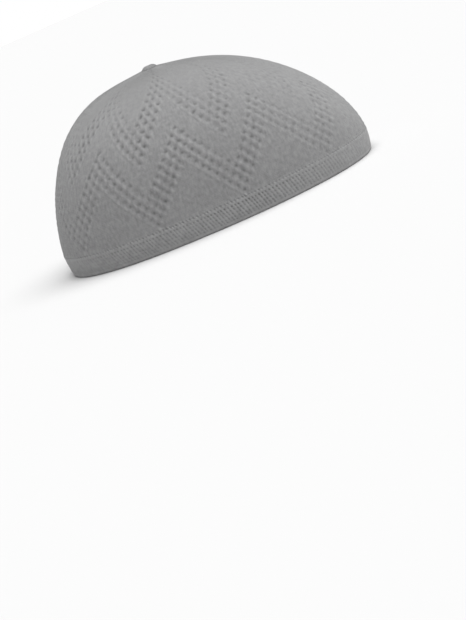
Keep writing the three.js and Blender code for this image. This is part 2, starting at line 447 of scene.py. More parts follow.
@dataclass(frozen=True)
class EyeletPattern:
    """Two stacked zigzags of eyelets, each a stroke of three rows with cords between them.

    The first number of a place in their lattice counts the slanting rows and the second the
    eyelets along them. Cords lie half way between the rows. A pair of numbers gives where a
    change starts and ends, in courses, but for the heights of squat eyelets and the sides,
    from 0 at the front and the back to 1. An edge counts courses out from the outer rows.
    """

    lower: Zigzag = Zigzag(
        start=17.4, course=3.69, growth=0.024, uneven=0.0077, front_lift=-1.34, end_lift=0.0,
        falling=Slope(pits=0.58, cords=1.12, front_loss=0.3),
        rising=Slope(pits=0.62, cords=1.22, joined=0.42))
    upper: Zigzag = Zigzag(
        start=56.8, course=4.26, growth=0.099, uneven=-0.007, front_lift=-2.43, end_lift=1.24,
        falling=Slope(pits=0.66, cords=0.90, high_loss=0.55, front_loss=0.70),
        rising=Slope(pits=0.88, cords=1.05, high_loss=0.24, front_loss=0.42))
    repeats: int = 10
    shifts: int = 9
    stroke_courses: float = 4.0
    slope_turn: float = 0.3
    pit_width: float = 0.15
    squat: float = 1.8
    squat_heights: tuple[float, float] = (20.0, 105.0)
    pit_fall: float = 0.95
    cord_rise: float = 0.34
    cord_power: float = 1.5
    cord_least: float = 0.16
    cord_cut: float = 1.1
    sunken: float = 0.16
    sunken_top: float = -0.8
    sunken_foot: float = 3.2
    joined_sides: tuple[float, float] = (0.4, 0.75)
    joined_foot: tuple[float, float] = (0.5, 2.5)
    joined_head: tuple[float, float] = (10.0, 7.0)
    # Painted shade in the grooves between eyelets that run together.
    groove_painted_shade: float = 1.2
    groove_edge: tuple[float, float] = (0.9, 0.2)
    top_edge: tuple[float, float] = (1.15, 0.6)
    low_edge: tuple[float, float] = (1.75, 1.05)
    jitter: float = 0.085
    pit_wander: float = 0.3
    cord_wander: float = -0.15
    row_wander: Wander = Wander((Wave(53, 0.061, 0.4, 0.5), Wave(71, -0.083, 2.1, 0.35),
                                 Wave(37, 0.117, 4.4, 0.35)))
    step_wander: Wander = Wander((Wave(47, -0.073, 1.3, 0.5), Wave(83, 0.052, 3.2, 0.35),
                                  Wave(29, 0.131, 5.5, 0.35)))
    depth_wander: Wander = Wander((Wave(61, 0.094, 0.9, 0.5), Wave(97, -0.067, 3.9, 0.5)))

    def zigzag(self, which: Course) -> Zigzag:
        """The zigzag by where it lies."""
        return self.lower if which is Course.LOWER else self.upper

    def steps_round(self) -> int:
        """Stitch steps in one turn round the cap."""
        return self.repeats * 2 * self.shifts

    def shift_at(self, share: Array) -> Array:
        """Stitch steps round the cap from the first valley."""
        return (share - FIRST_VALLEY) * self.steps_round()

    def peak_at(self, share: Array) -> Array:
        """Course of the stroke's top row: the most at a peak, and the least at a valley."""
        step = np.mod(self.shift_at(share), 2 * self.shifts)
        return self.shifts + self.stroke_courses - np.abs(step - self.shifts)

    def edge(self, which: Course, share: Array, down: float) -> Array:
        """Height of the line that lies so many courses down from a stroke's top row."""
        return self.zigzag(which).height(self.peak_at(share) - down, share)

    def rising(self, share: Array) -> Array:
        """1 on the slopes that rise with the girth share, and 0 on those that fall."""
        wave = np.sin(FULL_TURN * self.repeats * (share - FIRST_VALLEY))
        return smooth(-self.slope_turn, self.slope_turn, wave)

    def _strengths(self, zigzag: Zigzag, share: Array, height: Array,
                   course: Array) -> tuple[Array, Array, Array]:
        """How strongly the cords and the eyelets show, by zigzag and slope.

        Args:
            zigzag: The zigzag.
            share: Shares of the girth.
            height: Heights along the cloth.
            course: Courses above the lowest eyelet.

        Returns:
            The strength of the cords and of the eyelets, and how far eyelets run together.
        """
        rising = self.rising(share)
        slopes = ((zigzag.falling, 1 - rising), (zigzag.rising, rising))
        wander = self.depth_wander.at(share, height)
        cords = sum(slope.cords * slope.left(share, course) * part for slope, part in slopes)
        pits = sum(slope.pits * slope.left(share, course) * part for slope, part in slopes)
        joined = sum(slope.joined * part for slope, part in slopes)
        joined = joined * smooth(*self.joined_sides, np.sin(FULL_TURN * share) ** 2)
        joined = joined * smooth(*self.joined_foot, course) * smooth(*self.joined_head, course)
        return cords * (1 + self.cord_wander * wander), pits * (1 + self.pit_wander * wander), joined

    def at(self, which: Course, share: Array, height: Array) -> Eyelets:
        """The eyelets and cords of one zigzag.

        Args:
            which: The zigzag.
            share: Shares of the girth.
            height: Heights along the cloth.

        Returns:
            Their relief and lattice.
        """
        zigzag, foot = self.zigzag(which), self.stroke_courses
        course = zigzag.course_at(share, height)
        down = self.peak_at(share) - course
        inside = smooth(foot + self.low_edge[0], foot + self.low_edge[1], down)
        cut = self.cord_cut * (1 - self.rising(share))
        top, cord_top = (smooth(-self.top_edge[0], -self.top_edge[1], down - late) for late in (0.0, cut))
        shift = self.shift_at(share)
        row = 0.5 * (shift + course) + self.jitter * self.row_wander.at(share, height)
        step = 0.5 * (shift - course) + self.jitter * self.step_wander.at(share, height)
        off_row, off_step = row - np.round(row), step - np.round(step)
        groove = np.exp(-np.square(off_row) / (2 * self.pit_width**2))
        start, end = self.squat_heights
        flat = np.sqrt(1 + self.squat * np.clip((height - start) / (end - start), 0.0, 1.0))
        spread = np.square(off_row + off_step) / flat + np.square(off_row - off_step) * flat
        pit = np.exp(-spread / (4 * self.pit_width**2))
        cord = crest(row) ** self.cord_power * (self.cord_least + (1 - self.cord_least) * crest(step))
        cords, pits, joined = self._strengths(zigzag, share, height, course)
        sunken = cords * self.sunken * smooth(self.sunken_top, foot, down)
        sunken = sunken * smooth(foot + self.sunken_foot, foot + self.low_edge[1], down)
        cords, pits = cords * inside * cord_top, pits * inside * top
        far, near = self.groove_edge
        within = smooth(-far, -near, down) * smooth(foot + far, foot + near, down)
        groove = joined * within * pits * (groove - pit)
        offset = cords * self.cord_rise * cord - sunken - self.pit_fall * (pits * pit + groove)
        # The tone returned is painted shade in the grooves between joined eyelets.
        return Eyelets(offset, -self.groove_painted_shade * groove, np.stack([row, step], axis=-1), cords, pits)


@dataclass(frozen=True)
class Row:
    """A row of marks round the hem, by its height and reach, and how far the marks stand out."""

    height: float
    reach: float
    rise: float
    tone: float

    def at(self, height: Array) -> Array:
        """How strongly the row shows at heights along the cloth, from 0 to 1."""
        return hump((height - self.height) / self.reach)


@dataclass(frozen=True)
class RibPattern:
    """The fine ribs of the hem, and the linking stitches where it meets the crown.

    The grooves between the ribs are beaded and end in a row of sunken dots. Raised bars cross
    the joint with sunken dots between them, and a raised row runs round the hem just below it.
    The tone is painted light and shade: lighter on the ribs, the bars, the raised row and the
    rolled edge, and darker in the grooves and the dots.
    A pair of numbers gives where a change starts and ends: heights for the ribs and the
    bars, and places from -1 at the front to 1 at the back for where the ribs are shown.
    """

    ribs: int = 250
    lean: float = math.tan(math.radians(23.5))
    middle: float = 6.7
    rib_rise: float = 0.33
    rib_level: float = 0.6
    # Painted light on the ribs and painted shade in the grooves between them.
    rib_painted_shading: float = 2.15
    rib_painted_shading_level: float = 0.66
    rib_foot: tuple[float, float] = (1.4, 2.9)
    rib_head: tuple[float, float] = (11.9, 11.0)
    bead_pitch: float = 2.1
    bead_share: float = 0.5
    shown_front: tuple[float, float] = (-0.96, -0.78)
    shown_back: tuple[float, float] = (0.77, 0.50)
    least: float = 0.30
    usual: float = 0.72
    boldest: float = -0.40
    bold_reach: float = 0.30
    bold_gain: float = 0.38
    strength: float = 0.92
    strength_wander: float = 0.3
    unevenness: float = 0.18
    # Rows round the hem: the roll is a painted highlight along the rolled edge, the head dots and link dots
    # are sunken with painted shade, and the raised row has a painted highlight.
    roll: Row = Row(1.6, 1.0, rise=0.0, tone=2.0)
    head_dots: Row = Row(10.9, 0.8, rise=-0.16, tone=-0.5)
    painted_highlight_row: Row = Row(12.3, 0.8, rise=0.12, tone=0.55)
    row_back_highlight: float = 0.25
    row_side_highlight: float = -0.25
    row_beads: float = 1.4
    link_dots: Row = Row(13.25, 0.95, rise=-0.42, tone=-0.9)
    dot_sharpness: float = 1.6
    link_least: float = 0.38
    bar_swing: float = 0.22
    bar_foot: tuple[float, float] = (12.1, 12.8)
    bar_head: tuple[float, float] = (15.3, 14.0)
    bar_rise: float = 0.16
    # Painted highlight on the raised bars.
    bar_painted_highlight: float = 1.5
    rib_wander: Wander = Wander((Wave(23, 0.0, 0.7, 0.5), Wave(59, 0.04, 2.6, 0.3),
                                 Wave(97, -0.05, 5.1, 0.3)))
    tone_wander: Wander = Wander((Wave(67, 0.03, 1.9, 0.5), Wave(111, -0.06, 4.2, 0.5)))

    def column_at(self, share: Array, height: Array, girth: float) -> Array:
        """The girth share where the leaning rib through a place crosses the hem's middle."""
        return share + self.lean * (height - self.middle) / girth

    def _ends(self, along: Array) -> Array:
        """How boldly the ribs show.

        Args:
            along: Places from -1 at the front to 1 at the back.

        Returns:
            The boldness.
        """
        shown = smooth(*self.shown_front, along) * smooth(*self.shown_back, along)
        bold = self.usual + self.bold_gain * np.exp(-np.square((along - self.boldest) / self.bold_reach))
        return (self.least + (1 - self.least) * shown) * bold

    def relief(self, column: Array, height: Array) -> tuple[Array, Array]:
        """Relief of the ribs and the linking stitches, with the painted light and shade that follow it.

        Args:
            column: Girth shares where the leaning ribs cross the hem's middle.
            height: Heights along the cloth.

        Returns:
            The offset outward, and a tone number of painted light and shade: above 0, a painted
            highlight, where yarn stands out and along the rolled edge, and below 0, painted shade,
            where it is sunk.
        """
        phase = self.ribs * column + self.unevenness * self.rib_wander.at(column, height)
        strength = self.strength + self.strength_wander * self.tone_wander.at(column, height)
        along = -np.cos(FULL_TURN * column)
        sideness = 1 - along**2
        ends = self._ends(along)
        stand = smooth(*self.rib_foot, height) * smooth(*self.rib_head, height) * ends * strength
        between_beads = crest((height - self.head_dots.height) / self.bead_pitch)
        groove = 1 - crest(phase)
        rib = 1 - groove * (1 - self.bead_share * between_beads)
        head = self.head_dots.at(height) * groove**2 * ends
        row = self.painted_highlight_row.at(height)
        bar = crest(phase + self.bar_swing)
        strength = strength * (self.link_least + (1 - self.link_least) * sideness)
        bars = smooth(*self.bar_foot, height) * smooth(*self.bar_head, height) * strength
        dot = self.link_dots.at(height) * (1 - bar) ** self.dot_sharpness * strength
        offset = self.rib_rise * (rib - self.rib_level) * stand + self.head_dots.rise * head
        offset = offset + self.painted_highlight_row.rise * row + self.bar_rise * bars * bar + self.link_dots.rise * dot
        # Painted highlight on the raised row, stronger at the back, weaker at the sides, and beaded by the
        # bars.
        row_highlight = self.painted_highlight_row.tone + self.row_back_highlight * along + self.row_side_highlight * sideness
        row_highlight = row_highlight * row * (1 + self.row_beads * (bar - 0.5) * sideness)
        # The tone is painted light and shade: lighter on ribs, bars and the raised row, darker in grooves
        # and sunken dots, plus a painted highlight along the rolled edge.
        tone = self.rib_painted_shading * (rib - self.rib_painted_shading_level) * stand + self.head_dots.tone * head + row_highlight
        tone = tone + self.bar_painted_highlight * bars * bar + self.link_dots.tone * dot
        return offset, tone + self.roll.tone * self.roll.at(height)


@dataclass
class Ring:
    """One ring of a skin, with its points, in metres, in order round the cap.

    A single point is a pole. Stitches are places in knitted columns and rows, and the relief
    is painted light and shade at each point, from -1, painted shade in a pit, to 1, a painted
    highlight on a ridge.
    """

    points: Array
    stitches: Array
    eyelets: Eyelets
    relief: Array
    face: Face


@dataclass
class Skin:
    """Rings of points joined into one closed skin, up the outside and down the inside.

    The wales are the knitted columns round it, the course is the height of a knitted row,
    and the cells are what both numbers of an eyelet's place grow by in one turn.
    """

    name: str
    wales: float
    course: float = ROW_HEIGHT
    cells: float = 0.0
    rings: list[Ring] = field(default_factory=list)

    def add(self, points: Array, share: Array, height: Array | float, relief: Array | float = 0.0,
            eyelets: Eyelets | None = None, face: Face = Face.RIGHT) -> None:
        """Adds a ring after the last one.

        Args:
            points: The ring's points in metres.
            share: The girth share of each point's knitted column.
            height: The height along the cloth of each point.
            relief: Painted light and shade at each point: lighter where it stands out, darker where it is
                sunk.
            eyelets: The eyelets there, if any.
            face: Which face of the knitting shows.
        """
        count = len(points)
        stitches = np.stack([share * self.wales, np.broadcast_to(height, count) / self.course], axis=-1)
        none = np.zeros(count)
        shown = eyelets or Eyelets(none, none, np.zeros((count, 2)), none, none)
        # The ring's painted light and shade: the given relief plus the painted shade of the eyelet grooves.
        self.rings.append(Ring(points, stitches, shown, np.broadcast_to(relief, count) + shown.tone, face))

    @staticmethod
    def _between(lower: int, upper: int) -> list[Array]:
        """Faces between two rings of any size.

        Args:
            lower: Points of the lower ring.
            upper: Points of the upper ring.

        Returns:
            Quads, or two sets of triangles. A corner is its column, plus a half where it is
            on the upper ring, and may lie one turn on.
        """
        if lower == upper:
            column = np.arange(lower, dtype=float)
            return [np.stack([column, column + 1, column + 1.5, column + 0.5], axis=1)]
        low, high = np.arange(lower), np.arange(upper)
        above = np.maximum(-((lower - (2 * low + 1) * upper) // (2 * lower)), 0)
        below = ((2 * high + 1) * lower - upper) // (2 * upper) + 1
        rising = np.stack([low, low + 1, above + 0.5], axis=1)
        falling = np.stack([high + 1.5, high + 0.5, below], axis=1)
        return [faces for faces, count in ((rising, lower), (falling, upper)) if count > 1]

    def _spacing(self) -> Array:
        """Measures the skin's section.

        Returns:
            Where each ring lies along it, from 0 to 1, with the first ring again last.
        """
        few = [ring.points[np.arange(12) * len(ring.points) // 12] for ring in self.rings]
        steps = [np.linalg.norm(a - b, axis=1).mean() for a, b in zip(few, few[1:] + few[:1])]
        return np.concatenate([[0.0], np.cumsum(steps)]) / sum(steps)

    def _faces(self) -> tuple[list[list[int]], dict[str, list[Array]]]:
        """Joins the rings, and the last to the first unless both are poles.

        Returns:
            The faces as point numbers, and the maps with a place for each corner.
        """
        rings = self.rings
        firsts = np.cumsum([0] + [len(ring.points) for ring in rings])
        stitches = np.concatenate([ring.stitches for ring in rings])
        eyelets = np.concatenate([ring.eyelets.place for ring in rings])
        section = self._spacing()
        faces: list[list[int]] = []
        maps: dict[str, list[Array]] = {BAKE_MAP: [], STITCH_MAP: [], EYELET_MAP: []}
        poles = len(rings[0].points) == 1 and len(rings[-1].points) == 1
        for low in range(len(rings) - poles):
            high = (low + 1) % len(rings)
            sizes = len(rings[low].points), len(rings[high].points)
            for corners in self._between(*sizes):
                on_high = np.mod(corners, 1.0) > 0.25
                column = np.floor(corners).astype(int)
                count = np.where(on_high, sizes[1], sizes[0])
                vertex = np.mod(column, count) + np.where(on_high, firsts[high], firsts[low])
                faces.extend(vertex.tolist())
                flat = count > 1
                turn = column / count
                turn = np.where(flat, turn, (turn * flat).sum(axis=1, keepdims=True) / 2)
                wrapped = (column >= count)[..., None] & flat[..., None]
                up = np.where(on_high, section[low + 1], section[low])
                maps[BAKE_MAP].append(np.stack([turn, up], axis=-1).reshape(-1, 2))
                round_again = np.array([self.wales, 0.0])
                maps[STITCH_MAP].append((stitches[vertex] + wrapped * round_again).reshape(-1, 2))
                maps[EYELET_MAP].append((eyelets[vertex] + wrapped * self.cells).reshape(-1, 2))
        return faces, maps

    def build(self) -> bpy.types.Object:
        """Makes the mesh, with its maps and attributes.

        Returns:
            The new object, at the origin.
        """
        faces, maps = self._faces()
        mesh = bpy.data.meshes.new(self.name)
        mesh.from_pydata(np.concatenate([ring.points for ring in self.rings]).tolist(), [], faces)
        for name, places in maps.items():
            layer = mesh.uv_layers.new(name=name)
            layer.uv.foreach_set("vector", np.concatenate(places).astype(np.float32).ravel())
        # The painted light and shade goes on the mesh as a point attribute, with the cord and pit strengths
        # and the reverse face.
        for name, values in ((PAINTED_SHADING, [ring.relief for ring in self.rings]),
                             (CORDS, [ring.eyelets.cords for ring in self.rings]),
                             (PITS, [ring.eyelets.pits for ring in self.rings]),
                             (REVERSE, [np.full(len(ring.points), ring.face.value) for ring in self.rings])):
            attribute = mesh.attributes.new(name, "FLOAT", "POINT")
            attribute.data.foreach_set("value", np.concatenate(values).astype(np.float32))
        mesh.shade_smooth()
        mesh.update()
        return show(self.name, mesh)


def fill(node: bpy.types.Node, inputs: dict[int | str, object]) -> None:
    """Fills a node's inputs.

    Args:
        node: The node.
        inputs: Sockets to link and plain values to set, by the input's name or number.
    """
    for place, value in inputs.items():
        if isinstance(value, bpy.types.NodeSocket):
            node.id_data.links.new(value, node.inputs[place])
        else:
            node.inputs[place].default_value = value


@dataclass(frozen=True)
class Field:
    """A number that varies over a surface, held as an output of a shader node."""

    socket: bpy.types.NodeSocket

    def math(self, operation: str, *others: "Field | float", clamp: bool = False) -> "Field":
        """A new field from one math node.

        Args:
            operation: Blender's name of the operation.
            others: The other inputs, fields or plain numbers.
            clamp: True to hold the result between 0 and 1.

        Returns:
            The result.
        """
        node = self.socket.id_data.nodes.new("ShaderNodeMath")
        node.operation = operation
        node.use_clamp = clamp
        plain = (other.socket if isinstance(other, Field) else other for other in others)
        fill(node, dict(enumerate((self.socket, *plain))))
        return Field(node.outputs[0])

    def __add__(self, other: "Field | float") -> "Field":
        """The sum."""
        return self.math("ADD", other)

    def __sub__(self, other: "Field | float") -> "Field":
        """The difference."""
        return self.math("SUBTRACT", other)

    def __mul__(self, other: "Field | float") -> "Field":
        """The product."""
        return self.math("MULTIPLY", other)

    def climb(self, start: float, reach: float) -> "Field":
        """A straight rise from 0 at a start to 1 where the reach ends."""
        return ((self - start) * (1 / reach)).math("ADD", 0.0, clamp=True)

    def crest(self) -> "Field":
        """A wave between 0 at whole numbers and 1 half way between them."""
        return (self * FULL_TURN).math("COSINE") * -0.5 + 0.5

    def off_whole(self) -> "Field":
        """How far the field is from the nearest whole number, with its sign."""
        return (self + 0.5).math("FRACT") - 0.5


@dataclass(frozen=True)
class KnitFinish:
    """The finish of knitting in matt yarn, one material for both of its faces.

    Depths and heights are in millimetres. The numbers for the stitches, the relief, the pits and
    the cords that lighten or darken the yarn are painted light and shade; the fibre light, streak,
    mottle and cloud say how much the yarn's own tone varies. Cells of noise are counted in a metre,
    or for each knitted column and row. Streaks and mottle are calmer near the top.
    """

    name: str
    colour: tuple[float, float, float]
    roughness: float = 0.92
    specular: float = 0.25
    sheen: float = 0.15
    sheen_roughness: float = 0.55
    stitch_depth: float = 0.15
    # Painted shading of the stitches: lighter on the tops of the yarns, darker between them.
    stitch_painted_shading: float = 0.14
    leg_power: float = 0.7
    leg_lean: float = 0.62
    loop_power: float = 0.8
    loop_swing: float = 0.24
    loop_waist: float = 0.3
    fibre_cells: float = 2600.0
    fibre_light: float = 0.16
    fibre_depth: float = 0.35
    mottle_cells: float = 420.0
    mottle: float = 0.48
    cloud_cells: float = 45.0
    cloud: float = 0.10
    column_cells: tuple[float, float] = (0.8, 0.22)
    column_streak: float = 0.32
    row_cells: tuple[float, float] = (0.15, 0.6)
    row_streak: float = 0.1
    calm: float = 0.5
    calm_from: float = 75.0
    calm_reach: float = 35.0
    # Painted highlight where the relief attribute is above 0, painted shade where it is below.
    relief_painted_highlight: float = 0.09
    relief_painted_shade: float = 0.26
    pit_width: float = EyeletPattern.pit_width
    # Painted shade in the eyelets.
    pit_painted_shade: float = 0.40
    pit_depth: float = 0.22
    cord_power: float = 2.5
    cord_least: float = 0.2
    # Painted highlight on the cords between the eyelets.
    cord_painted_highlight: float = 0.155
    cord_height: float = 0.12

    @staticmethod
    def _map(tree: bpy.types.NodeTree, name: str) -> tuple[Field, Field]:
        """The two numbers of a map.

        Args:
            tree: The material's nodes.
            name: Name of the map.

        Returns:
            The map's X and Y.
        """
        places = tree.nodes.new("ShaderNodeUVMap")
        places.uv_map = name
        parts = tree.nodes.new("ShaderNodeSeparateXYZ")
        fill(parts, {0: places.outputs["UV"]})
        return Field(parts.outputs["X"]), Field(parts.outputs["Y"])

    @staticmethod
    def _attribute(tree: bpy.types.NodeTree, name: str) -> Field:
        """An attribute of the mesh.

        Args:
            tree: The material's nodes.
            name: Name of the attribute.

        Returns:
            Its number.
        """
        node = tree.nodes.new("ShaderNodeAttribute")
        node.attribute_name = name
        return Field(node.outputs["Fac"])

    @staticmethod
    def _noise(place: bpy.types.NodeSocket, cells: float = 1.0, octaves: float = 1.0) -> Field:
        """Noise over places.

        Args:
            place: The places.
            cells: Cells of noise in a unit of the places.
            octaves: Octaves of detail.

        Returns:
            The noise, about 0.5.
        """
        node = place.id_data.nodes.new("ShaderNodeTexNoise")
        fill(node, {"Vector": place, "Scale": cells, "Detail": octaves})
        return Field(node.outputs["Fac"])

    def _stitches(self, across: Field, up: Field, reverse: Field) -> Field:
        """Height of the stitches: columns of V on the right side and rows of loops behind.

        Args:
            across: Place in knitted columns.
            up: Place in knitted rows.
            reverse: 1 where the reverse of the knitting shows.

        Returns:
            The height, from 0 between the yarns to 1 on top of them.
        """
        border = (across.math("FRACT") * 2.0 - 1.0).math("ABSOLUTE")
        legs = ((across * 2.0).math("FRACT") * math.pi).math("SINE").math("POWER", self.leg_power)
        right = legs * ((up - border * self.leg_lean + 0.5).crest() * 0.5 + 0.5)
        loops = (up + across.crest() * self.loop_swing + 0.5).crest().math("POWER", self.loop_power)
        loops = loops * (border * self.loop_waist + (1 - self.loop_waist))
        return right + (loops - right) * reverse

    def _eyelets(self, tree: bpy.types.NodeTree, up: Field) -> tuple[Field, Field]:
        """The eyelets and the cords between them.

        Args:
            tree: The material's nodes.
            up: Place in knitted rows.

        Returns:
            The pits and the cords, each from 0 to about 1.
        """
        row, step = self._map(tree, EYELET_MAP)
        off_row, off_step = row.off_whole(), step.off_whole()
        round_way, up_way = off_row + off_step, off_row - off_step
        start, end = EyeletPattern.squat_heights
        flat = (up * ROW_HEIGHT).climb(start, end - start) * EyeletPattern.squat + 1.0
        spread = (round_way * round_way).math("DIVIDE", flat) + up_way * up_way * flat
        pit = (spread * (-0.25 / self.pit_width**2)).math("EXPONENT") * self._attribute(tree, PITS)
        cord = row.crest().math("POWER", self.cord_power)
        cord = cord * (step.crest() * (1 - self.cord_least) + self.cord_least)
        return pit, cord * self._attribute(tree, CORDS)

    def _unevenness(self, across: Field, up: Field) -> tuple[Field, Field]:
        """The fibres, and how unevenly the yarn is dyed and knitted.

        Args:
            across: Place in knitted columns.
            up: Place in knitted rows.

        Returns:
            The fibres, from 0 to 1, and the tone of the yarn, about 0.
        """
        nodes = across.socket.id_data.nodes
        own = nodes.new("ShaderNodeTexCoord").outputs["Object"]
        fibre = self._noise(own, self.fibre_cells, 3.0)
        cloud = self._noise(own, self.cloud_cells, 2.0)
        uneven = (self._noise(own, self.mottle_cells, 2.0) - 0.5) * self.mottle
        for cells, streak in ((self.column_cells, self.column_streak), (self.row_cells, self.row_streak)):
            stretched = nodes.new("ShaderNodeCombineXYZ")
            fill(stretched, {0: (across * cells[0]).socket, 1: (up * cells[1]).socket})
            uneven = uneven + (self._noise(stretched.outputs[0]) - 0.5) * streak
        uneven = uneven * (up.climb(self.calm_from, self.calm_reach) * -self.calm + 1.0)
        return fibre, (fibre - 0.5) * self.fibre_light + (cloud - 0.5) * self.cloud + uneven

    def make(self) -> bpy.types.Material:
        """Builds the material.

        Returns:
            The new material.
        """
        material = bpy.data.materials.new(self.name)
        material.use_nodes = True
        tree = material.node_tree
        across, up = self._map(tree, STITCH_MAP)
        stitch = self._stitches(across, up, self._attribute(tree, REVERSE))
        pit, cord = self._eyelets(tree, up)
        fibre, uneven = self._unevenness(across, up)
        relief = self._attribute(tree, PAINTED_SHADING)
        # Painted shading of the stitches, plus the yarn's own uneven tone.
        shade = (stitch - 0.5) * self.stitch_painted_shading + uneven
        # Painted highlight on raised relief and painted shade on sunken relief.
        shade = shade + relief.math("MAXIMUM", 0.0) * self.relief_painted_highlight
        shade = shade + relief.math("MINIMUM", 0.0) * self.relief_painted_shade
        # Painted highlight on the cords and painted shade in the eyelets.
        shade = shade + cord * self.cord_painted_highlight - pit * self.pit_painted_shade + 1.0
        mix = tree.nodes.new("ShaderNodeMix")
        mix.data_type = "RGBA"
        mix.blend_type = "MULTIPLY"
        fill(mix, {"Factor": 1.0, "A": (*self.colour, 1.0), "B": shade.socket})
        height = (stitch + fibre * self.fibre_depth) * self.stitch_depth
        height = height + cord * self.cord_height - pit * self.pit_depth
        bump = tree.nodes.new("ShaderNodeBump")
        fill(bump, {"Distance": MM, "Height": height.socket})
        fill(tree.nodes["Principled BSDF"], {
            "Roughness": self.roughness, "Specular IOR Level": self.specular,
            "Sheen Weight": self.sheen, "Sheen Roughness": self.sheen_roughness,
            "Base Color": mix.outputs["Result"], "Normal": bump.outputs["Normal"]})
        return material


def settle(piece: bpy.types.Object, node: str, finish: KnitFinish) -> bpy.types.Object:
    """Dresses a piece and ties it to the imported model.

    Args:
        piece: The new piece.
        node: The node that it stands for.
        finish: The finish.

    Returns:
        The piece.
    """
    piece.data.materials.append(finish.make())
    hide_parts(node)
    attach(piece, BODY)
    piece.data.calc_loop_triangles()
    log.info("%s: %d triangles for node %s", piece.name, len(piece.data.loop_triangles), node)
    return piece


@dataclass(frozen=True)
class Zone:
    """A zone of the crown from one line to the next, with its nearer zigzag and its division."""

    which: Course
    columns: int
    rows: int
    inner_rows: int


